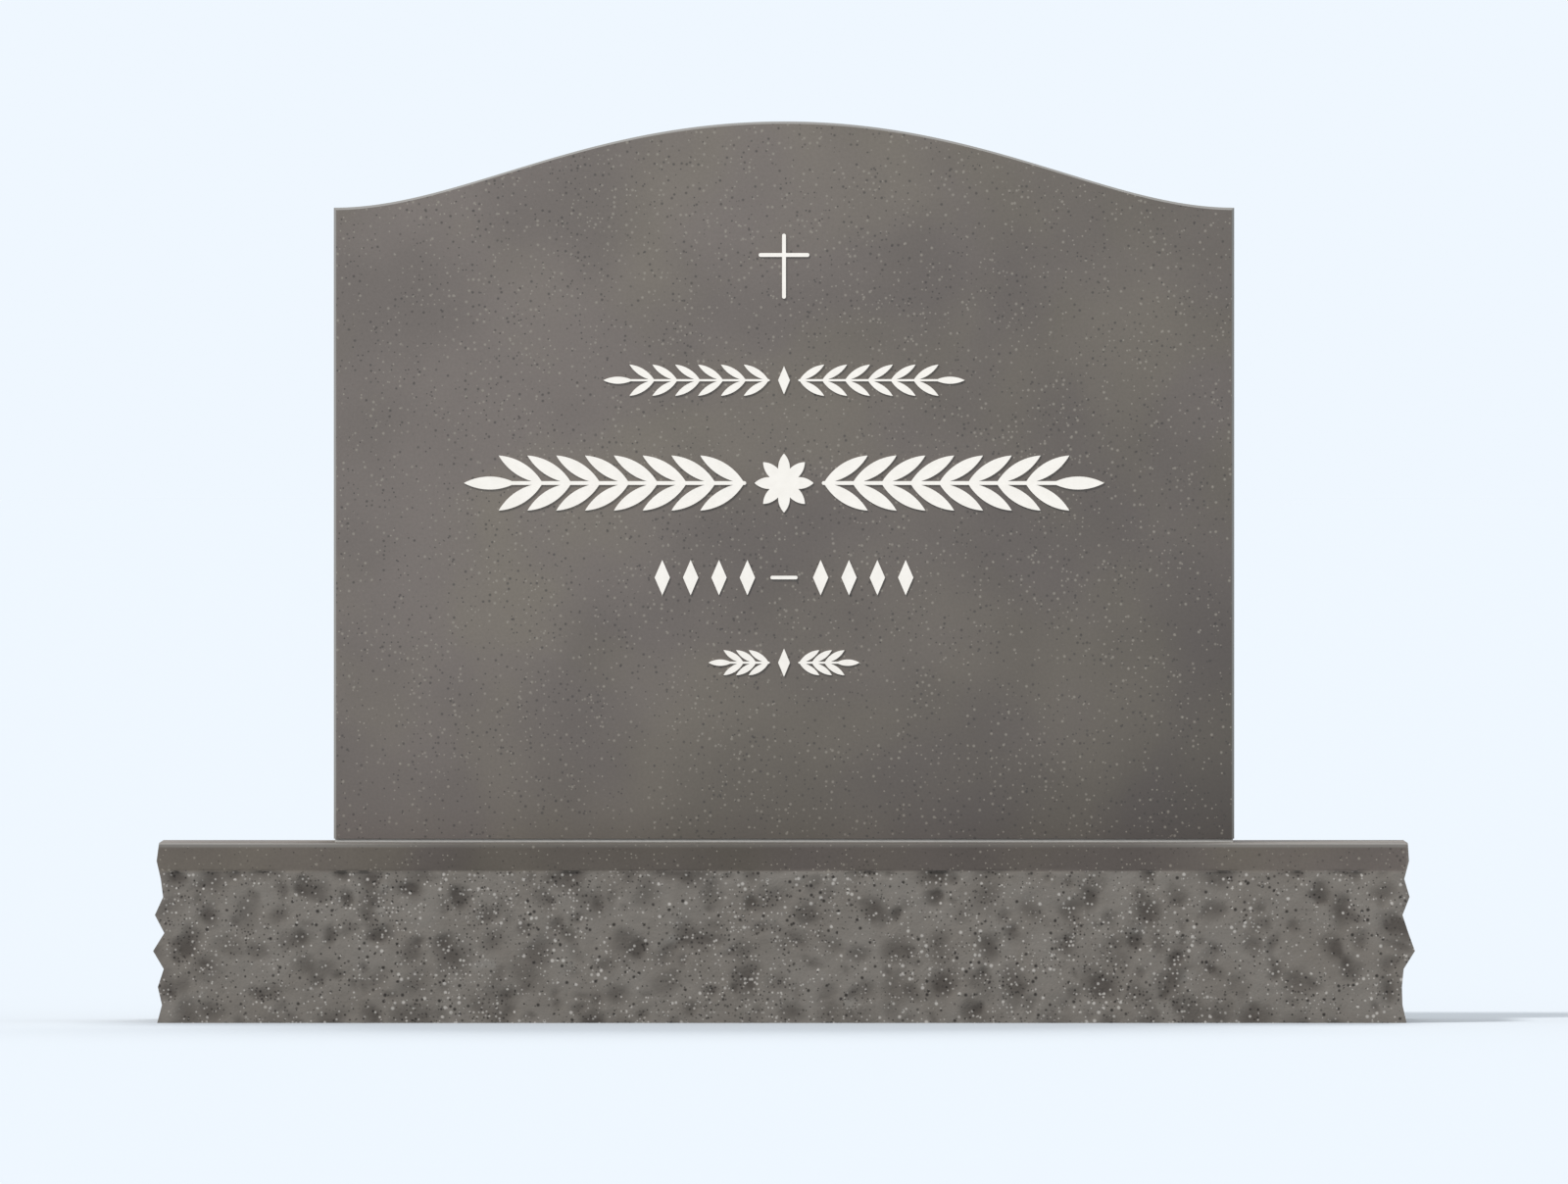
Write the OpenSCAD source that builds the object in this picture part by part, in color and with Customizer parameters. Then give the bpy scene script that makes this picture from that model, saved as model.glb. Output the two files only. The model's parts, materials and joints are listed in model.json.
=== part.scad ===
// Granite headstone: a polished tablet with a serpentine top, set on a
// rock-pitched base, with white inlays let into the tablet's face.
// Millimetres. +Z is up, the face looks along -Y, and the origin is the
// middle of the base's underside, at ground level.

/* [Tablet] */
// Width of the tablet
tablet_w = 762; // [600:1:1000]
// Height of the tablet from its foot to the top of its curve
tablet_h = 607; // [500:1:900]
// Thickness of the tablet
tablet_t = 152; // [110:1:240]
// Drop from the top of the curve to the shoulders
curve_drop = 73; // [30:1:100]
// Share of the half width over which a shoulder stays nearly level
shoulder_ease = 0.28; // [0.1:0.01:0.5]
// Share of the half width over which the crown stays nearly level
crown_ease = 0.45; // [0.1:0.01:0.6]
// Width of the bevel around the tablet's faces, on its sides and its curve
tablet_arris = 2; // [1:0.5:4]

/* [Base] */
// Width of the base over its rock-pitched ends
base_w = 1066; // [860:1:1500]
// Depth of the base over its rock-pitched faces
base_d = 305; // [240:1:450]
// Height of the base
base_h = 152; // [110:1:250]
// Width of the bevel along the base's top edges
base_arris = 2.5; // [1.5:0.5:8]
// Height of the smooth margin at the top of the faces, bevel included
margin_h = 23; // [15:1:40]
// How far the rock face stands out from the smooth margin
rock_swell = 3; // [0:0.5:6]
// Depth of the hollows struck into the rock faces
rock_relief = 5; // [2:0.5:8]

/* [Setting] */
// Thickness of the setting joint between base and tablet
joint_h = 3; // [2:0.5:8]
// How far the setting compound stays back from the tablet's faces
joint_inset = 1; // [0.5:0.5:6]
// Side of each square setting spacer
spacer_w = 25; // [15:1:40]
// Distance from the tablet's edges to the spacers
spacer_inset = 20; // [10:1:30]
// Diameter of the dowels
dowel_d = 12.7; // [8:0.1:20]
// Length of the dowels
dowel_l = 150; // [80:1:180]
// Distance between the two dowels
dowel_spacing = 460; // [200:1:500]

/* [Inlays] */
// Depth of the pockets that the inlays sit in
pocket_depth = 1.5; // [1:0.1:4]
// How far the inlays stand out from the face
inlay_stand = 1.2; // [0.2:0.1:2]
// Clearance around each inlay in its pocket
inlay_gap = 0.1; // [0.05:0.05:0.3]

/* [Cross] */
// Height of the cross
cross_h = 55; // [30:1:70]
// Width of the cross over its arms
cross_w = 43; // [20:1:60]
// Width of the cross's strokes
cross_stroke = 3.3; // [2:0.1:6]
// Drop from the top of the cross to the middle of its arms
cross_arm_drop = 18; // [8:1:25]
// Drop from the top of the tablet's curve to the top of the cross
cross_drop = 95; // [70:1:120]

/* [Upper sprigs] */
// Width of the upper pair of sprigs from tip to tip
upper_w = 306; // [200:1:420]
// Number of leaf pairs on each upper sprig
upper_pairs = 6; // [3:1:10]
// Length of a leaf on the upper sprigs
upper_leaf_l = 25; // [8:0.5:30]
// Width of a leaf on the upper sprigs
upper_leaf_w = 6; // [2:0.1:8]
// Drop from the top of the curve to the middle of the upper sprigs
upper_drop = 219; // [200:1:235]

/* [Laurel band] */
// Width of the laurel band from tip to tip
laurel_w = 542; // [380:1:600]
// Number of leaf pairs on each half of the laurel band
laurel_pairs = 8; // [4:1:12]
// Length of a laurel leaf
laurel_leaf_l = 44; // [25:0.5:50]
// Width of a laurel leaf
laurel_leaf_w = 11; // [6:0.1:16]
// Diameter of the rosette in the middle of the band
rosette_d = 50; // [25:1:60]
// Number of petals on the rosette
rosette_petals = 8; // [5:1:10]
// Drop from the top of the curve to the middle of the laurel band
laurel_drop = 306; // [295:1:315]

/* [Lozenge row] */
// Number of lozenges on each side of the bar
lozenge_count = 4; // [2:1:4]
// Width of a lozenge in the row
lozenge_w = 13; // [8:0.5:18]
// Height of a lozenge in the row
lozenge_h = 30; // [15:0.5:36]
// Distance from one lozenge in the row to the next
lozenge_pitch = 24; // [20:0.5:35]
// Length of the bar in the middle of the row
bar_l = 23; // [10:1:40]
// Width of the bar in the middle of the row
bar_w = 3; // [2:0.1:6]
// Space between the bar's ends and the lozenges beside it
bar_space = 13; // [6:0.5:30]
// Drop from the top of the curve to the middle of the lozenge row
lozenge_drop = 386; // [370:1:400]

/* [Lower sprigs] */
// Width of the lower pair of sprigs from tip to tip
lower_w = 128; // [90:1:240]
// Number of leaf pairs on each lower sprig
lower_pairs = 3; // [2:1:5]
// Length of a leaf on the lower sprigs
lower_leaf_l = 20; // [8:0.5:24]
// Width of a leaf on the lower sprigs
lower_leaf_w = 5.4; // [2:0.1:7]
// Drop from the top of the curve to the middle of the lower sprigs
lower_drop = 458; // [440:1:470]

/* [Hidden] */
$fn = 96;

// How far each end of the base stands out from its top edge, at every tenth
// of the height from the top down
left_end = [0, 2, -1.5, -3.5, 3.5, -4.5, 5, -4, 1, -2.5, 1.5];
right_end = [0, 1, -3, 1.5, -4.5, 0.5, 6, -3.5, -5, -4.5, -1];

// The least that the ends are struck back, between their corners, from the top
// edge of each end
end_dress = 2;

// Stations along each long face and each end of the base, and the seed of the
// random depths of its rock pitch
face_steps = 38;
end_steps = 11;
rock_seed = 41;

// Steps along each half of the tablet's curve
curve_steps = 60;

// Running clearances inside the joint
dowel_gap = 0.5;
dowel_end_gap = 3;
spacer_gap = 0.2;

// Sprig proportions: the angle of the leaves, the stem and the small lozenge
// between two sprigs
leaf_angle = 32;
stem_w = 1.8;
laurel_stem_w = 3.2;
middle_lozenge_w = 10;
middle_lozenge_h = 24;
middle_space = 7;

foot_z = base_h + joint_h;
top_z = foot_z + tablet_h;
floor_y = pocket_depth - tablet_t / 2;
inlay_t = pocket_depth + inlay_stand;

granite = [0.46, 0.44, 0.41];
pitched = [0.43, 0.42, 0.40];
compound = [0.62, 0.60, 0.58];
enamel = [0.95, 0.94, 0.92];
steel = [0.72, 0.73, 0.74];
lead = [0.38, 0.39, 0.41];

function numbered(name, count) = [for (i = [1 : count]) str(name, "_", i)];

NODES = concat(
    ["tablet", "base", "setting_compound"],
    numbered("setting_spacer", 4),
    ["dowel_left", "dowel_right", "cross"],
    ["upper_sprig_left", "upper_sprig_right", "upper_lozenge"],
    ["laurel_left", "laurel_right", "laurel_rosette"],
    numbered("lozenge_left", lozenge_count),
    ["lozenge_bar"],
    numbered("lozenge_right", lozenge_count),
    ["lower_sprig_left", "lower_sprig_right", "lower_lozenge"]);
node = "all";

// ---- Flat shapes of the inlays, each with a growth for its pocket ----

// A straight stroke from the origin along +X, with round ends
module stroke(length, width, grow = 0) {
    r = width / 2;
    translate([r, -r - grow]) square([length - width, width + 2 * grow]);
    for (x = [r, length - r]) translate([x, 0]) circle(r + grow);
}

// A lozenge about the origin
module lozenge(w, h, grow = 0) {
    side = norm([w, h]);
    x = w / 2 + grow * side / h;
    y = h / 2 + grow * side / w;
    polygon([[-x, 0], [0, -y], [x, 0], [0, y]]);
}

// A pointed leaf from the origin along +X: where two equal circles overlap
module leaf(length, width, grow = 0) {
    r = (length * length + width * width) / (4 * width);
    translate([length / 2, 0]) intersection() {
        translate([0, r - width / 2]) circle(r + grow);
        translate([0, width / 2 - r]) circle(r + grow);
    }
}

// A sprig from the origin along +X: a stem, leaves in pairs, one at the tip
module sprig(length, stem, pairs, leaf_l, leaf_w, grow = 0) {
    tip_x = length - leaf_l;
    stroke(tip_x + leaf_w, stem, grow);
    translate([tip_x, 0]) leaf(leaf_l, leaf_w, grow);
    for (i = [0 : pairs - 1], side = [-1, 1])
        translate([stem / 2 + i * tip_x / pairs, 0])
            rotate(side * leaf_angle) leaf(leaf_l, leaf_w, grow);
}

// A rosette about the origin: a disc with leaf-shaped petals
module rosette(d, petals, grow = 0) {
    circle(d / 6 + grow);
    for (i = [0 : petals - 1])
        rotate(i * 360 / petals) leaf(d / 2, d / 5, grow);
}

module cross_shape(grow = 0) {
    translate([0, -cross_h]) rotate(90) stroke(cross_h, cross_stroke, grow);
    translate([-cross_w / 2, -cross_arm_drop]) stroke(cross_w, cross_stroke, grow);
}

// One sprig of a pair that leaves a small lozenge in the middle
module half_sprig(w, pairs, leaf_l, leaf_w, grow = 0) {
    start = middle_lozenge_w / 2 + middle_space;
    translate([start, 0]) sprig(w / 2 - start, stem_w, pairs, leaf_l, leaf_w, grow);
}

module upper_sprig(grow = 0) half_sprig(upper_w, upper_pairs, upper_leaf_l, upper_leaf_w, grow);
module lower_sprig(grow = 0) half_sprig(lower_w, lower_pairs, lower_leaf_l, lower_leaf_w, grow);
module middle_lozenge(grow = 0) lozenge(middle_lozenge_w, middle_lozenge_h, grow);

module laurel_half(grow = 0) {
    start = rosette_d / 2 + middle_space;
    translate([start, 0])
        sprig(laurel_w / 2 - start, laurel_stem_w, laurel_pairs,
              laurel_leaf_l, laurel_leaf_w, grow);
}

// Distance from the middle of the row to its lozenge number i, from 1
function lozenge_x(i) = bar_l / 2 + bar_space + lozenge_w / 2 + (i - 1) * lozenge_pitch;

module row_lozenge(side, i, grow = 0)
    translate([side * lozenge_x(i), 0]) lozenge(lozenge_w, lozenge_h, grow);

module bar_shape(grow = 0) translate([-bar_l / 2, 0]) stroke(bar_l, bar_w, grow);

// Stands a flat shape in its pocket, its middle "drop" below the curve's top
module on_face(drop, thickness)
    translate([0, floor_y, top_z - drop]) rotate([90, 0, 0])
        linear_extrude(thickness) children();

module inlay(drop) color(enamel) on_face(drop, inlay_t) children();
module pocket(drop) on_face(drop, inlay_t + 1) children();
module left_half() mirror([1, 0, 0]) children();

// ---- Tablet ----

// A point on the left half of the curve, from the shoulder at t = 0 to the
// top at t = 1, as shares of the half width and of the drop
function curve_share(t) =
    let (s = 1 - t)
    [3 * s * s * t * shoulder_ease + 3 * s * t * t * (1 - crown_ease) + t * t * t,
     3 * s * t * t + t * t * t];

// Direction of travel along the curve at t
function curve_travel(t) =
    let (s = 1 - t, a = shoulder_ease, b = 1 - crown_ease)
    [(3 * s * s * a + 6 * s * t * (b - a) + 3 * t * t * crown_ease) * tablet_w / 2,
     6 * s * t * curve_drop];

// The curve's point at t on one side, set in by "inset" along its normal.
// The shoulder's own point is also set in from the upright side.
function curve_point(t, side, inset) =
    let (share = curve_share(t), travel = curve_travel(t), d = travel / norm(travel))
    [side * (tablet_w / 2 * (1 - share[0]) - (t == 0 ? inset : -inset * d[1])),
     top_z - curve_drop * (1 - share[1]) - inset * d[0]];

// The curve from the left shoulder to the right one
function curve_outline(inset) = concat(
    [for (i = [0 : curve_steps]) curve_point(i / curve_steps, -1, inset)],
    [for (i = [curve_steps - 1 : -1 : 0]) curve_point(i / curve_steps, 1, inset)]);

// One ring of the tablet's skin: along the curve, then back along the foot
function tablet_ring(y, inset) =
    let (top = curve_outline(inset), n = len(top))
    concat([for (p = top) [p[0], y, p[1]]],
           [for (i = [n - 1 : -1 : 0]) [top[i][0], y, foot_z]]);

module tablet_stone() {
    half_t = tablet_t / 2;
    rings = [tablet_ring(-half_t, tablet_arris), tablet_ring(-half_t + tablet_arris, 0),
             tablet_ring(half_t - tablet_arris, 0), tablet_ring(half_t, tablet_arris)];
    n = len(rings[0]);
    m = n / 2;
    last = 3 * n;
    polyhedron(
        points = [for (ring = rings) each ring],
        faces = concat(
            [for (i = [0 : m - 2]) [i, i + 1, n - 2 - i, n - 1 - i]],
            [for (i = [0 : m - 2]) [last + i, last + n - 1 - i, last + n - 2 - i, last + i + 1]],
            [for (k = [0 : 2], i = [0 : n - 1])
                let (j = (i + 1) % n) [k * n + i, (k + 1) * n + i, (k + 1) * n + j, k * n + j]]),
        convexity = 4);
}

// Holes for the dowels, "depth" up from the tablet's foot or down into the base
module dowel_holes(from_z, depth)
    for (side = [-1, 1])
        translate([side * dowel_spacing / 2, 0, from_z])
            cylinder(h = depth, d = dowel_d + 2 * dowel_gap);

module inlay_pockets() {
    g = inlay_gap;
    pocket(cross_drop) cross_shape(g);
    pocket(upper_drop) upper_sprig(g);
    pocket(upper_drop) left_half() upper_sprig(g);
    pocket(upper_drop) middle_lozenge(g);
    pocket(laurel_drop) laurel_half(g);
    pocket(laurel_drop) left_half() laurel_half(g);
    pocket(laurel_drop) rosette(rosette_d, rosette_petals, g);
    pocket(lozenge_drop) bar_shape(g);
    for (i = [1 : lozenge_count], side = [-1, 1])
        pocket(lozenge_drop) row_lozenge(side, i, g);
    pocket(lower_drop) lower_sprig(g);
    pocket(lower_drop) left_half() lower_sprig(g);
    pocket(lower_drop) middle_lozenge(g);
}

module tablet() color(granite) difference() {
    tablet_stone();
    inlay_pockets();
    dowel_holes(foot_z - 1, dowel_l / 2 - joint_h + dowel_end_gap + 1);
}

// ---- Base ----

// Depths below the base's top at which its skin has a ring of points: the
// bevel, the margin, and every tenth of the height
tenths = [for (i = [1 : 10]) i * base_h / 10];
levels = concat([0, base_arris],
                [for (d = tenths) if (d > base_arris + 1 && d < margin_h - 1) d],
                [margin_h],
                [for (d = tenths) if (d > margin_h + 1) d]);

// Stations around the base, anticlockwise from the front left corner: the
// place on a square of side 2, and which way is out along X and along Y
stations = concat(
    [for (i = [0 : face_steps - 1]) [2 * i / face_steps - 1, -1, i == 0 ? -1 : 0, -1]],
    [for (i = [0 : end_steps - 1]) [1, 2 * i / end_steps - 1, 1, i == 0 ? -1 : 0]],
    [for (i = [0 : face_steps - 1]) [1 - 2 * i / face_steps, 1, i == 0 ? 1 : 0, 1]],
    [for (i = [0 : end_steps - 1]) [-1, 1 - 2 * i / end_steps, -1, i == 0 ? 1 : 0]]);

rock = rands(0, 1, len(stations) * len(levels), rock_seed);

// Top edges of the base before any rock stands out from them
left_x = max(left_end) - base_w / 2;
right_x = base_w / 2 - max(right_end);
margin_y = base_d / 2 - rock_swell;

function end_profile(side, depth) =
    let (ends = side < 0 ? left_end : right_end)
    lookup(depth / base_h, [for (i = [0 : 10]) [i / 10, ends[i]]]);

// How far the skin stands out at a station and a level, along X and along Y.
// The corners keep the full end profile, and between them the ends are struck
// back to it or further.
function out_x(s, depth, r) =
    s[2] == 0 ? 0
    : s[3] != 0 ? end_profile(s[2], depth)
    : min(end_profile(s[2], depth), -end_dress) - r * rock_relief;
function out_y(s, depth, r) =
    s[3] == 0 ? 0
    : depth == 0 ? -base_arris
    : depth <= margin_h ? 0
    : s[2] == 0 ? rock_swell - r * rock_relief : 0;

function skin_point(s, depth, r) =
    [(left_x + right_x) / 2 + s[0] * (right_x - left_x) / 2 + s[2] * out_x(s, depth, r),
     s[1] * margin_y + s[3] * out_y(s, depth, r),
     base_h - depth];

module base_stone() {
    n = len(stations);
    last = (len(levels) - 1) * n;
    mid_top = len(levels) * n;
    mid_bottom = mid_top + 1;
    skin = [for (k = [0 : len(levels) - 1], i = [0 : n - 1])
            skin_point(stations[i], levels[k], rock[k * n + i])];
    polyhedron(
        points = concat(skin, [[0, 0, base_h], [0, 0, 0]]),
        faces = concat(
            [for (i = [0 : n - 1]) [mid_top, (i + 1) % n, i]],
            [for (i = [0 : n - 1]) [mid_bottom, last + i, last + (i + 1) % n]],
            [for (k = [0 : len(levels) - 2], i = [0 : n - 1])
                let (a = k * n + i, b = k * n + (i + 1) % n)
                each (i + k) % 2 == 0
                    ? [[a, b, b + n], [a, b + n, a + n]]
                    : [[a, b, a + n], [b, b + n, a + n]]]),
        convexity = 4);
}

module base() color(pitched) difference() {
    base_stone();
    dowel_holes(base_h - dowel_l / 2, dowel_l / 2 + 1);
}

// ---- Setting ----

module spacer_block(side_x, side_y, grow = 0)
    translate([side_x * (tablet_w / 2 - spacer_inset - spacer_w / 2),
               side_y * (tablet_t / 2 - spacer_inset - spacer_w / 2), 0])
        square(spacer_w + 2 * grow, center = true);

module setting_compound() color(compound)
    translate([0, 0, base_h]) linear_extrude(joint_h) difference() {
        square([tablet_w - 2 * joint_inset, tablet_t - 2 * joint_inset], center = true);
        for (sx = [-1, 1], sy = [-1, 1]) spacer_block(sx, sy, spacer_gap);
        for (side = [-1, 1])
            translate([side * dowel_spacing / 2, 0]) circle(d = dowel_d + 2 * dowel_gap);
    }

module setting_spacer(i) color(lead)
    translate([0, 0, base_h]) linear_extrude(joint_h)
        spacer_block(i % 2 == 0 ? 1 : -1, i > 2 ? 1 : -1);

module dowel(side) color(steel)
    translate([side * dowel_spacing / 2, 0, base_h - dowel_l / 2])
        cylinder(h = dowel_l, d = dowel_d);

// ---- The parts in place ----

function wanted(name) = node == "all" || node == name;

if (wanted("tablet")) tablet();
if (wanted("base")) base();
if (wanted("setting_compound")) setting_compound();
for (i = [1 : 4]) if (wanted(str("setting_spacer_", i))) setting_spacer(i);
if (wanted("dowel_left")) dowel(-1);
if (wanted("dowel_right")) dowel(1);
if (wanted("cross")) inlay(cross_drop) cross_shape();
if (wanted("upper_sprig_left")) inlay(upper_drop) left_half() upper_sprig();
if (wanted("upper_sprig_right")) inlay(upper_drop) upper_sprig();
if (wanted("upper_lozenge")) inlay(upper_drop) middle_lozenge();
if (wanted("laurel_left")) inlay(laurel_drop) left_half() laurel_half();
if (wanted("laurel_right")) inlay(laurel_drop) laurel_half();
if (wanted("laurel_rosette")) inlay(laurel_drop) rosette(rosette_d, rosette_petals);
for (i = [1 : lozenge_count])
    if (wanted(str("lozenge_left_", i))) inlay(lozenge_drop) row_lozenge(-1, i);
if (wanted("lozenge_bar")) inlay(lozenge_drop) bar_shape();
for (i = [1 : lozenge_count])
    if (wanted(str("lozenge_right_", i))) inlay(lozenge_drop) row_lozenge(1, i);
if (wanted("lower_sprig_left")) inlay(lower_drop) left_half() lower_sprig();
if (wanted("lower_sprig_right")) inlay(lower_drop) lower_sprig();
if (wanted("lower_lozenge")) inlay(lower_drop) middle_lozenge();
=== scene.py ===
"""Looks of a granite headstone: a polished tablet with a serpentine top on a rock-pitched base.

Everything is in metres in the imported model's frame: +Z up, the tablet's face looks along -Y,
the origin is the middle of the base's underside.
"""
import json
import math

import bpy
import numpy as np
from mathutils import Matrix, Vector


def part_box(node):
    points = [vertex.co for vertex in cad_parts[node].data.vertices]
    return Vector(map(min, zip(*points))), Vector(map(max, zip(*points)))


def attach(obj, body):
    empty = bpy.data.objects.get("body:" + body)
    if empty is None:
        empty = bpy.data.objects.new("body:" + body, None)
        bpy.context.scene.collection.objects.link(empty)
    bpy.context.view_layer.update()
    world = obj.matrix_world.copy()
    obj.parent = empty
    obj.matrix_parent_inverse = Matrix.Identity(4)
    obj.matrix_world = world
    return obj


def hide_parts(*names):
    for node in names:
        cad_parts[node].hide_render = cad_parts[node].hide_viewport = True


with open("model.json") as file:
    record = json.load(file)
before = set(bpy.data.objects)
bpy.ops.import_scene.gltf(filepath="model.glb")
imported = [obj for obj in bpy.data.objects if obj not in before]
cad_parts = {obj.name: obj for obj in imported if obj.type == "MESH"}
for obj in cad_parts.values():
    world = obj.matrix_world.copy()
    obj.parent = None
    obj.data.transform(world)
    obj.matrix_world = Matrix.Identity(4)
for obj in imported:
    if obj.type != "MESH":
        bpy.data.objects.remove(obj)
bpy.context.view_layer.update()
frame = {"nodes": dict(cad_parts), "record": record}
nodes = frame["nodes"]

MM = 0.001
tablet_lo, tablet_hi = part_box("tablet")
base_lo, base_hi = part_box("base")

# Pale blue-white of the studio, as linear colour
STUDIO = (0.863, 0.930, 1.0)


# ---- Stage: camera, lights and floor ----

def make_camera():
    """Looks square at the face, from far enough back that the upright edges stay upright."""
    view_width = 1.327
    distance = 40.0
    height = 0.50
    aim_height = 0.3638
    data = bpy.data.cameras.new("camera")
    data.sensor_width = 36.0
    data.lens = data.sensor_width * distance / view_width
    data.clip_end = 500.0
    camera = bpy.data.objects.new("camera", data)
    bpy.context.scene.collection.objects.link(camera)
    eye = Vector((0.0, tablet_lo.y - distance, height))
    target = Vector((0.0, tablet_lo.y, aim_height))
    camera.location = eye
    camera.rotation_mode = "QUATERNION"
    camera.rotation_quaternion = (target - eye).to_track_quat("-Z", "Y")
    bpy.context.scene.camera = camera


def make_sun(name, direction, angle, strength):
    data = bpy.data.lights.new(name, "SUN")
    data.energy = strength
    data.angle = math.radians(angle)
    light = bpy.data.objects.new(name, data)
    bpy.context.scene.collection.objects.link(light)
    light.rotation_mode = "QUATERNION"
    light.rotation_quaternion = Vector(direction).to_track_quat("-Z", "Y")
    return light


def make_world(strength):
    world = bpy.data.worlds.new("studio")
    world.use_nodes = True
    background = world.node_tree.nodes["Background"]
    background.inputs["Color"].default_value = (*STUDIO, 1.0)
    background.inputs["Strength"].default_value = strength
    bpy.context.scene.world = world


def make_floor():
    half = 300.0
    mesh = bpy.data.meshes.new("floor")
    mesh.from_pydata([(-half, -half, 0), (half, -half, 0), (half, half, 0), (-half, half, 0)],
                     [], [(0, 1, 2, 3)])
    floor = bpy.data.objects.new("floor", mesh)
    bpy.context.scene.collection.objects.link(floor)
    material = bpy.data.materials.new("floor")
    material.use_nodes = True
    shader = material.node_tree.nodes["Principled BSDF"]
    shader.inputs["Base Color"].default_value = (0.417, 0.4355, 0.453, 1.0)
    shader.inputs["Roughness"].default_value = 1.0
    shader.inputs["Specular IOR Level"].default_value = 0.0
    mesh.materials.append(material)


# ---- Node helpers ----

class Shader:
    """Builds one material's node tree."""

    def __init__(self, name):
        self.material = bpy.data.materials.new(name)
        self.material.use_nodes = True
        self.tree = self.material.node_tree
        self.bsdf = self.tree.nodes["Principled BSDF"]
        self.coords = self.tree.nodes.new("ShaderNodeTexCoord").outputs["Object"]

    def node(self, kind, inputs=None, **settings):
        made = self.tree.nodes.new("ShaderNode" + kind)
        for key, value in settings.items():
            setattr(made, key, value)
        for key, value in (inputs or {}).items():
            self.feed(made.inputs[key], value)
        return made

    def feed(self, socket, value):
        if isinstance(value, bpy.types.NodeSocket):
            self.tree.links.new(value, socket)
        elif socket.type == "RGBA" and len(value) == 3:
            socket.default_value = (*value, 1.0)
        else:
            socket.default_value = value

    def math(self, operation, a, b=0.0, clamp=False):
        made = self.tree.nodes.new("ShaderNodeMath")
        made.operation = operation
        made.use_clamp = clamp
        self.feed(made.inputs[0], a)
        self.feed(made.inputs[1], b)
        return made.outputs[0]

    def noise(self, scale, detail=2.0, rough=0.5, vector=None, distort=0.0):
        made = self.node("TexNoise", {"Vector": vector or self.coords, "Scale": scale,
                                      "Detail": detail, "Roughness": rough,
                                      "Distortion": distort})
        return made.outputs["Fac"]

    def voronoi(self, scale, vector=None, feature="F1", random=1.0):
        made = self.node("TexVoronoi", {"Vector": vector or self.coords, "Scale": scale,
                                        "Randomness": random}, feature=feature)
        return made.outputs["Distance"], made.outputs["Color"]

    def smooth(self, value, low, high, to_low=0.0, to_high=1.0):
        """A smooth step of value from low to high, between two results."""
        made = self.node("MapRange", {"Value": value, "From Min": low, "From Max": high,
                                      "To Min": to_low, "To Max": to_high},
                         interpolation_type="SMOOTHSTEP")
        return made.outputs["Result"]

    def mix(self, share, a, b, blend="MIX"):
        made = self.tree.nodes.new("ShaderNodeMix")
        made.data_type = "RGBA"
        made.blend_type = blend
        self.feed(made.inputs[0], share)
        self.feed(made.inputs[6], a)
        self.feed(made.inputs[7], b)
        return made.outputs[2]

    def parts(self, vector):
        made = self.node("SeparateXYZ", {"Vector": vector})
        return made.outputs["X"], made.outputs["Y"], made.outputs["Z"]

    def bump(self, height, strength, distance, normal=None):
        made = self.node("Bump", {"Height": height, "Strength": strength, "Distance": distance})
        if normal is not None:
            self.feed(made.inputs["Normal"], normal)
        return made.outputs["Normal"]

    def finish(self, **inputs):
        for key, value in inputs.items():
            self.feed(self.bsdf.inputs[key.replace("_", " ")], value)
        return self.material


# ---- Materials ----

def specks(sh, scale, radius, share, seed):
    """Round grains scattered through the stone in drifts: how strong a grain is at this point, and
    a random number for its cell. About "share" of the cells, 1 / scale across, hold one."""
    moved = sh.node("VectorMath", {0: sh.coords, 1: (seed, seed * 0.7, seed * 1.3)},
                    operation="ADD").outputs[0]
    distance, colour = sh.voronoi(scale, moved)
    pick, size, tone = sh.parts(colour)
    reach = sh.math("MULTIPLY", sh.math("ADD", size, 0.7), radius * scale * 0.85)
    strength = sh.smooth(sh.math("DIVIDE", distance, reach), 1.0, 0.3)
    drift = sh.smooth(sh.noise(scale * 0.09, 2.0, 0.5, moved), 0.3, 0.7, 0.35, 1.65)
    present = sh.math("LESS_THAN", pick, sh.math("MULTIPLY", drift, share))
    return sh.math("MULTIPLY", strength, present), tone


def flecked(sh, tone, layers, dark, light, dark_share):
    """A stone colour with layers of dark and light grains over it."""
    for scale, radius, share, seed, strength in layers:
        spot, pick = specks(sh, scale, radius, share, seed)
        fleck = sh.mix(sh.math("GREATER_THAN", pick, dark_share), dark, light)
        tone = sh.mix(sh.math("MULTIPLY", spot, strength), tone, fleck)
    return tone


def grey(sh, value):
    made = sh.node("CombineColor", {"Red": value, "Green": value, "Blue": value})
    return made.outputs["Color"]


def polished_granite(sh, shade=None):
    """Colour of the honed stone: cloudy olive and purplish grey with sparse grains, times an
    optional shade."""
    cloud = sh.smooth(sh.noise(5.5, 2.5, 0.5, distort=0.5), 0.38, 0.62)
    tone = sh.mix(cloud, (0.1195, 0.1015, 0.0825), (0.1110, 0.0928, 0.0815))
    cloudy = sh.smooth(sh.noise(7.0, 2.5, 0.5), 0.33, 0.67, 0.90, 1.09)
    grain = sh.smooth(sh.noise(420.0, 2.0, 0.6), 0.25, 0.75, 0.955, 1.045)
    amount = sh.math("MULTIPLY", cloudy, grain)
    if shade is not None:
        amount = sh.math("MULTIPLY", amount, shade)
    tone = sh.mix(1.0, tone, grey(sh, amount), "MULTIPLY")
    layers = ((260.0, 0.00105, 0.60, 3.1, 0.9), (200.0, 0.0013, 0.45, 7.7, 0.7))
    return flecked(sh, tone, layers, (0.040, 0.035, 0.031), (0.225, 0.200, 0.165), 0.5)


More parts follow.
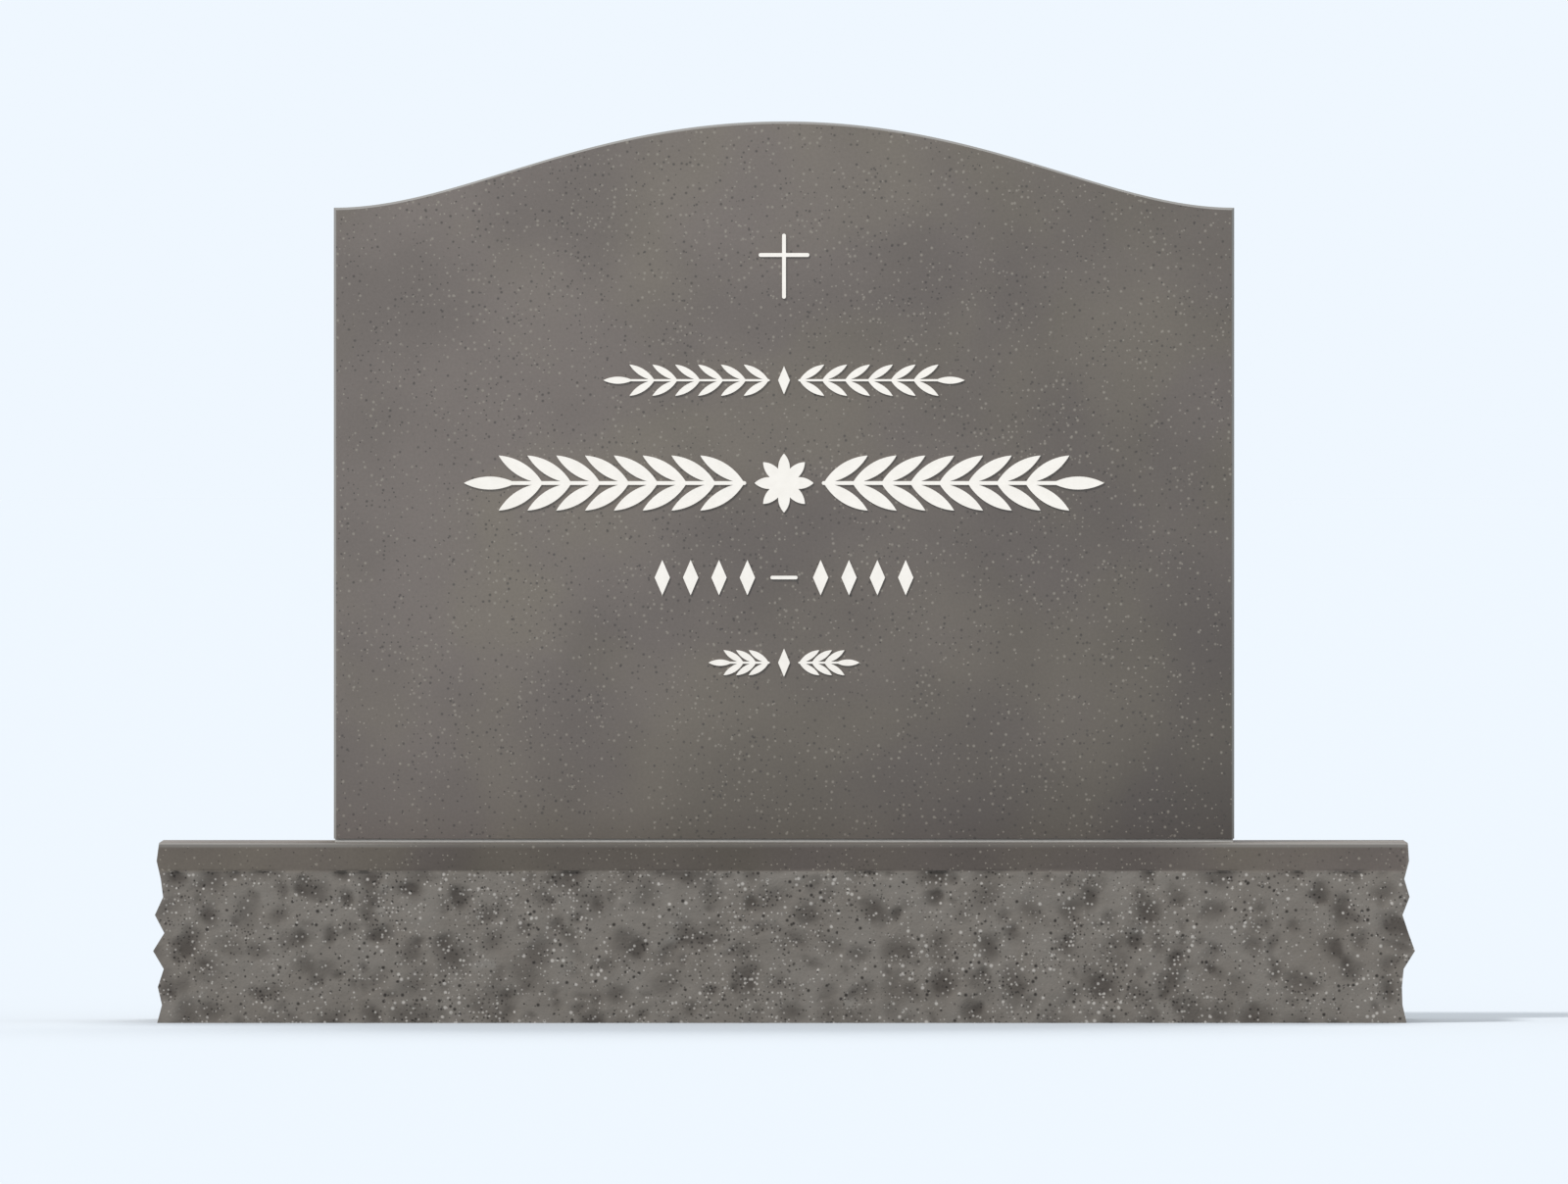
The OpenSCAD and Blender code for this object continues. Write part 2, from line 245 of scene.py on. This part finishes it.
def tablet_material():
    """Honed granite with painted light: a painted highlight on the ground bevels, paler at the top
    left, and painted shade towards the foot, the right and the lower right corner."""
    sh = Shader("tablet_granite")
    x, y, z = sh.parts(sh.coords)
    # Painted light and shade: paler at the top left, darker towards the foot and the right
    light_falloff = sh.math("ADD", sh.math("MULTIPLY", x, 0.62),
                   sh.math("MULTIPLY", sh.math("SUBTRACT", tablet_hi.z, z), 0.55))
    shade = sh.smooth(light_falloff, -0.25, 0.62, 1.18, 0.80)
    # Painted shade: the lower right corner darker still
    corner = sh.smooth(sh.math("ADD", x, sh.math("MULTIPLY", z, -0.9)), -0.05, 0.30, 1.0, 0.74)
    tone = polished_granite(sh, sh.math("MULTIPLY", shade, corner))
    # Painted highlight: the bevels, found from the normal, take a paler colour as if catching the
    # light
    normal_y = sh.parts(sh.node("TexCoord").outputs["Normal"])[1]
    bevel = sh.smooth(sh.math("ABSOLUTE", normal_y), 0.05, 0.15)
    bevel = sh.math("MULTIPLY", bevel, sh.smooth(sh.math("ABSOLUTE", normal_y), 0.95, 0.88))
    tone = sh.mix(bevel, tone, (0.200, 0.188, 0.172))
    rough = sh.smooth(sh.noise(60.0, 3.0, 0.6), 0.3, 0.7, 0.38, 0.48)
    normal = sh.bump(sh.noise(700.0, 2.0, 0.5), 0.06, 0.0004)
    return sh.finish(Base_Color=tone, Roughness=rough, Specular_IOR_Level=0.35, Normal=normal)


def base_material():
    """Rock-pitched stone where the mesh's "rock" mark is 1 and honed stone where it is 0, with a
    painted highlight on the bevel that "arris" marks, painted shadow of the tablet on the honed
    stone, and painted shade with grime in the hollows that "hollow" marks."""
    sh = Shader("base_granite")
    rock = sh.node("Attribute", attribute_name="rock").outputs["Fac"]
    hollow = sh.node("Attribute", attribute_name="hollow").outputs["Fac"]
    arris = sh.node("Attribute", attribute_name="arris").outputs["Fac"]
    x, y, z = sh.parts(sh.coords)
    # Painted shadow of the tablet: the honed stone is darker across the tablet's width
    near = sh.smooth(sh.math("ABSOLUTE", x), tablet_hi.x + 0.03, tablet_hi.x - 0.12)
    shade = sh.math("SUBTRACT", 0.93, sh.math("MULTIPLY", near, 0.24))
    honed = polished_granite(sh, shade)
    # Painted highlight on the bevel, weaker within the tablet's painted shadow
    arris_highlight = sh.math("SUBTRACT", 0.85, sh.math("MULTIPLY", near, 0.55))
    honed = sh.mix(sh.math("MULTIPLY", arris, arris_highlight), honed, (0.165, 0.152, 0.137))
    patchy = sh.smooth(sh.noise(26.0, 3.0, 0.55), 0.32, 0.68)
    pitched = sh.mix(patchy, (0.139, 0.122, 0.105), (0.157, 0.140, 0.122))
    bloom = sh.smooth(sh.noise(34.0, 1.0, 0.5), 0.66, 0.78)
    pitched = sh.mix(sh.math("MULTIPLY", bloom, 0.5), pitched, (0.205, 0.190, 0.170))
    # Darker in the hollows: painted shade, with grime
    pitched = sh.mix(sh.math("MULTIPLY", hollow, 0.74), pitched, (0.040, 0.033, 0.028))
    layers = ((250.0, 0.00155, 0.55, 1.7, 0.9), (320.0, 0.0011, 0.55, 5.3, 0.75))
    pitched = flecked(sh, pitched, layers, (0.022, 0.019, 0.017), (0.36, 0.332, 0.30), 0.58)
    tone = sh.mix(rock, honed, pitched)
    rough = sh.smooth(rock, 0.0, 1.0, 0.8, 0.95)
    height = sh.math("MULTIPLY", sh.noise(420.0, 4.0, 0.6), rock)
    normal = sh.bump(height, 0.5, 0.0012)
    return sh.finish(Base_Color=tone, Roughness=rough, Specular_IOR_Level=0.12, Normal=normal)


def enamel_material():
    sh = Shader("white_inlay")
    cloud = sh.smooth(sh.noise(90.0, 3.0, 0.6), 0.3, 0.7)
    tone = sh.mix(cloud, (0.70, 0.65, 0.585), (0.73, 0.68, 0.615))
    normal = sh.bump(sh.noise(900.0, 2.0, 0.5), 0.08, 0.0003)
    return sh.finish(Base_Color=tone, Roughness=0.45, Normal=normal)


def compound_material():
    sh = Shader("setting_compound")
    tone = sh.mix(sh.noise(300.0, 3.0, 0.6), (0.30, 0.285, 0.26), (0.42, 0.40, 0.37))
    normal = sh.bump(sh.noise(500.0, 2.0, 0.5), 0.2, 0.0004)
    return sh.finish(Base_Color=tone, Roughness=0.8, Normal=normal)


def steel_material():
    sh = Shader("dowel_steel")
    tone = sh.mix(sh.noise(200.0, 2.0, 0.5), (0.50, 0.50, 0.51), (0.60, 0.60, 0.61))
    rough = sh.smooth(sh.noise(400.0, 2.0, 0.5), 0.3, 0.7, 0.3, 0.45)
    return sh.finish(Base_Color=tone, Metallic=1.0, Roughness=rough)


def plastic_material():
    sh = Shader("spacer_plastic")
    tone = sh.mix(sh.noise(250.0, 2.0, 0.5), (0.10, 0.10, 0.11), (0.14, 0.14, 0.15))
    return sh.finish(Base_Color=tone, Roughness=0.6)


# ---- The base's rock-pitched skin ----

# How far each end stands out from its top edge at every tenth of the height, from the top
LEFT_END = [0, 2, -1.5, -3.5, 3.5, -4.5, 5, -4, 1, -2.5, 1.5]
RIGHT_END = [0, 1, -3, 1.5, -4.5, 0.5, 6, -3.5, -5, -4.5, -1]
ROCK_SWELL = 3 * MM
ARRIS = 2.5 * MM
MARGIN = 23 * MM
BASE_DEPTH = 305 * MM
STEP = 2.3 * MM


def spread(keys, step):
    """Values from the first key to the last, through each key, at most a step apart."""
    values = [keys[0]]
    for a, b in zip(keys, keys[1:]):
        count = max(1, math.ceil((b - a) / step))
        values += [a + (b - a) * i / count for i in range(1, count + 1)]
    return values


def ease(value, low, high):
    """0 up to low, 1 from high, smooth between."""
    t = np.clip((value - low) / (high - low), 0.0, 1.0)
    return t * t * (3.0 - 2.0 * t)


def chance(i, j, salt):
    """A repeatable number from 0 to 1 for each cell of a grid."""
    h = np.sin(i * 127.1 + j * 311.7 + salt * 74.7) * 43758.5453
    return h - np.floor(h)


def soft_noise(u, v, size, salt):
    """Smooth noise from -1 to 1 with features about "size" across."""
    x, y = u / size, v / size
    i, j = np.floor(x), np.floor(y)
    fx, fy = ease(x - i, 0, 1), ease(y - j, 0, 1)
    low = chance(i, j, salt) * (1 - fx) + chance(i + 1, j, salt) * fx
    high = chance(i, j + 1, salt) * (1 - fx) + chance(i + 1, j + 1, salt) * fx
    return (low * (1 - fy) + high * fy) * 2 - 1


def rough_noise(u, v, size, salt, octaves=4):
    total = sum(soft_noise(u, v, size / 2 ** k, salt + 9 * k) * 0.55 ** k for k in range(octaves))
    return total / 1.6


def neighbours(u, v, size, salt):
    """For each of the nine cells round a point: the offset to that cell's own random point, and
    the cell's numbers."""
    i, j = np.floor(u / size), np.floor(v / size)
    for di in (-1, 0, 1):
        for dj in (-1, 0, 1):
            a, b = i + di, j + dj
            du = u - (a + 0.15 + 0.7 * chance(a, b, salt)) * size
            dv = v - (b + 0.15 + 0.7 * chance(a, b, salt + 1)) * size
            yield du, dv, a, b


def scallops(u, v, size, salt):
    """Scoops struck off side by side: near 0 in a scoop's middle, up to sharp ridges near 1."""
    best = np.full(u.shape, 9.0)
    for du, dv, a, b in neighbours(u, v, size, salt):
        lean = 0.5 * (chance(a, b, salt + 3) - 0.5) * dv / size
        level = (du * du + dv * dv * 0.6) / size ** 2 + 0.35 * chance(a, b, salt + 2) + lean
        best = np.minimum(best, level)
    return best


def pits(u, v, size, salt, share):
    """Depth, 0 to 1, of scattered bowls with ragged edges: "share" of the cells have one."""
    deepest = np.zeros(u.shape)
    for du, dv, a, b in neighbours(u, v, size, salt):
        turn = chance(a, b, salt + 4) * math.pi
        along = du * np.cos(turn) + dv * np.sin(turn)
        across = dv * np.cos(turn) - du * np.sin(turn)
        reach = size * (0.22 + 0.30 * chance(a, b, salt + 5))
        distance = np.hypot(along * 0.72, across) / reach
        bowl = np.clip(1.0 - distance ** 2, 0.0, 1.0) ** 1.6
        strength = (chance(a, b, salt + 6) < share) * (0.45 + 0.55 * chance(a, b, salt + 7))
        deepest = np.maximum(deepest, bowl * strength)
    return deepest


def rock_relief(u, v):
    """How far the struck surface lies below its highest level, and how hollow it is there."""
    bent_u = u + rough_noise(u, v, 30 * MM, 11) * 6 * MM
    bent_v = v + rough_noise(u, v, 30 * MM, 23) * 6 * MM
    wide = np.clip(scallops(bent_u, bent_v, 62 * MM, 3), 0, 1.1)
    small = np.clip(scallops(bent_u, bent_v, 21 * MM, 31), 0, 1.1)
    hollow = np.clip(pits(bent_u, bent_v, 34 * MM, 51, 0.95)
                     + 0.7 * pits(bent_u, bent_v, 19 * MM, 71, 0.5), 0, 1)
    depth = 2.6 * MM * (1.1 - wide) + 0.9 * MM * (1.1 - small) + 1.9 * MM * hollow
    return depth + 0.45 * MM * rough_noise(u, v, 9 * MM, 91), hollow


def end_profile(ends, depth, height):
    return np.interp(depth / height, np.linspace(0, 1, 11), np.array(ends) * MM)


def base_mesh():
    """The base's whole skin: a smooth top with a bevelled edge, a smooth margin, rock-pitched
    faces, and rock-pitched ends that carry the end profiles at their corners."""
    height = base_hi.z
    left = base_lo.x + max(LEFT_END) * MM
    right = base_hi.x - max(RIGHT_END) * MM
    side = BASE_DEPTH / 2 - ROCK_SWELL
    tenths = [height * i / 10 for i in range(11)]
    rows = np.array(spread(sorted(set(tenths + [ARRIS, MARGIN])), STEP))
    xs, ys = spread([left, right], STEP), spread([-side, side], STEP)
    around = [(x, -side, 0, -1) for x in xs[:-1]] + [(right, y, 1, 0) for y in ys[:-1]]
    around += [(x, side, 0, 1) for x in xs[:0:-1]] + [(left, y, -1, 0) for y in ys[:0:-1]]
    x, y, nx, ny = (np.array(c)[None, :] for c in zip(*around))
    depth = rows[:, None]
    walked = np.concatenate([[0], np.cumsum(np.hypot(np.diff(x[0]), np.diff(y[0])))])[None, :]
    u, v = np.broadcast_arrays(walked, depth)
    struck, hollow = rock_relief(u, v)
    profile = np.where(x > 0, end_profile(RIGHT_END, depth, height),
                       end_profile(LEFT_END, depth, height))
    corner_x = np.minimum(x - left, right - x)
    corner_y = side - np.abs(y)
    # Long faces: struck below the margin, and carried out or in with the ends at the corners
    below = np.clip((depth - MARGIN) / (2 * MM), 0, 1)
    lift = (ROCK_SWELL - struck) * below * ease(corner_x, 0, 12 * MM)
    lift = np.where(depth == 0, -ARRIS, lift)
    face_x = x + np.sign(x) * profile * (1 - ease(corner_x, 0, 45 * MM))
    face_y = y + ny * lift
    # Ends: the full profile at the corners, and between them struck back below the top edge
    edge = 1 - ease(corner_y, 0, 40 * MM)
    natural = -(4 * MM + 0.65 * struck) * ease(depth, 0, 14 * MM)
    end_x = x + nx * (edge * profile + (1 - edge) * natural)
    end_y = y - np.where(depth == 0, ARRIS * y / side, 0)
    on_face = ny != 0
    z = np.broadcast_to(height - depth, u.shape)
    verts = np.stack([np.where(on_face, face_x, end_x), np.where(on_face, face_y, end_y), z], 2)
    marks = {
        "rock": np.where(on_face, below, 1.0),
        "hollow": np.where(on_face, hollow * below, hollow),
        "arris": np.where(on_face, 1 - np.clip((depth - ARRIS) / (0.5 * MM), 0, 1), 0.0),
    }
    n = len(around)
    ring = np.arange(n)
    after = (ring + 1) % n
    starts = np.arange(len(rows) - 1)[:, None] * n
    quads = np.stack([starts + ring, starts + n + ring, starts + n + after, starts + after], 2)
    faces = quads.reshape(-1, 4).tolist()
    last = len(rows) * n
    faces.append(list(range(n)))
    faces.append(list(range(last - 1, last - n - 1, -1)))
    return verts.reshape(-1, 3), faces, {k: m.reshape(-1) for k, m in marks.items()}


def make_base(material):
    verts, faces, marks = base_mesh()
    mesh = bpy.data.meshes.new("base_stone")
    mesh.from_pydata(verts.tolist(), [], faces)
    corners = np.array([corner for face in faces for corner in face])
    outline = len(faces[-1])
    top_corners = slice(-2 * outline, -outline)
    for name, values in marks.items():
        # The top is one face of plain honed stone, so it takes none of its edge's marks
        at_corners = values[corners].astype(np.float32)
        at_corners[top_corners] = 0.0
        layer = mesh.attributes.new(name, "FLOAT", "CORNER")
        layer.data.foreach_set("value", at_corners)
    mesh.polygons.foreach_set("use_smooth", [True] * len(mesh.polygons))
    mesh.set_sharp_from_angle(angle=math.radians(38))
    mesh.materials.append(material)
    stone = bpy.data.objects.new("base_stone", mesh)
    bpy.context.scene.collection.objects.link(stone)
    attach(stone, "root")
    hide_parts("base")


# ---- The CAD pieces that stay ----

def dress(name, material):
    mesh = nodes[name].data
    mesh.materials.clear()
    mesh.materials.append(material)


def soften_edges(name, width):
    """Rounds the sharp edges of a piece by "width"."""
    bevel = nodes[name].modifiers.new("edges", "BEVEL")
    bevel.width = width
    bevel.segments = 2
    bevel.limit_method = "ANGLE"
    bevel.angle_limit = math.radians(50)


def dress_all():
    slots = {s["node"]: s["material_slot"] for s in frame["record"]["subparts"]}
    made = {"tablet_granite": tablet_material(), "white_inlay": enamel_material(),
            "setting_compound": compound_material(), "dowel_steel": steel_material(),
            "spacer_plastic": plastic_material()}
    for name, slot in slots.items():
        if slot in made:
            dress(name, made[slot])
        if slot == "white_inlay":
            soften_edges(name, 0.3 * MM)


bpy.context.scene.view_settings.view_transform = "Standard"
make_camera()
make_world(1.0)
make_floor()
make_sun("key", (0.50, 0.55, -0.80), 8, 3.0)
make_sun("back", (-0.10, -0.76, -0.64), 30, 2.5)
dress_all()
make_base(base_material())
